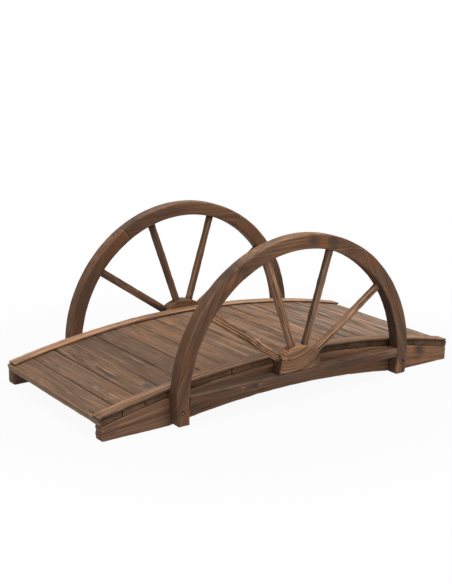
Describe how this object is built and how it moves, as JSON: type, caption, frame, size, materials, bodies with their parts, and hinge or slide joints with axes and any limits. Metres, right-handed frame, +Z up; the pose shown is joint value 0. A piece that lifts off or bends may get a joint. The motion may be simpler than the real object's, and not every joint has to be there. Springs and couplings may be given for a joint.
{
  "type": "arched wooden garden bridge",
  "caption": "Small arched footbridge of stained fir boards on two curved stringers, with half wagon wheels with spokes as side rails.",
  "frame": {"origin": "bottom centre of the bridge, on the ground under the middle of the deck", "axes": "+X along the way across, +Y from the front wheel to the back wheel, +Z up"},
  "size_m": [1.5104, 0.768, 0.5787],
  "materials": {
    "deck_wood": "stained fir boards, matt, weathered",
    "frame_wood": "stained fir, matt",
    "wheel_wood": "stained fir, matt",
    "spoke_wood": "stained fir, matt, split along the grain",
    "strip_wood": "lighter stained fir, matt"
  },
  "bodies": {
    "root": {"deck_plank_01": "deck_wood", "deck_plank_02": "deck_wood", "deck_plank_03": "deck_wood", "deck_plank_04": "deck_wood", "deck_plank_05": "deck_wood", "deck_plank_06": "deck_wood", "deck_plank_07": "deck_wood", "deck_plank_08": "deck_wood", "deck_plank_09": "deck_wood", "deck_plank_10": "deck_wood", "deck_plank_11": "deck_wood", "deck_plank_12": "deck_wood", "deck_plank_13": "deck_wood", "deck_plank_14": "deck_wood", "deck_plank_15": "deck_wood", "deck_plank_16": "deck_wood", "deck_plank_17": "deck_wood", "deck_plank_18": "deck_wood", "edge_strip_back": "strip_wood", "edge_strip_front": "strip_wood", "stringer_back": "frame_wood", "stringer_front": "frame_wood", "wheel_back_hub": "wheel_wood", "wheel_back_rail": "wheel_wood", "wheel_back_rim_left": "wheel_wood", "wheel_back_rim_right": "wheel_wood", "wheel_back_rim_top": "wheel_wood", "wheel_back_spoke_1": "spoke_wood", "wheel_back_spoke_2": "spoke_wood", "wheel_back_spoke_3": "spoke_wood", "wheel_back_spoke_4": "spoke_wood", "wheel_front_hub": "wheel_wood", "wheel_front_rail": "wheel_wood", "wheel_front_rim_left": "wheel_wood", "wheel_front_rim_right": "wheel_wood", "wheel_front_rim_top": "wheel_wood", "wheel_front_spoke_1": "spoke_wood", "wheel_front_spoke_2": "spoke_wood", "wheel_front_spoke_3": "spoke_wood", "wheel_front_spoke_4": "spoke_wood"}
  },
  "joints": []
}
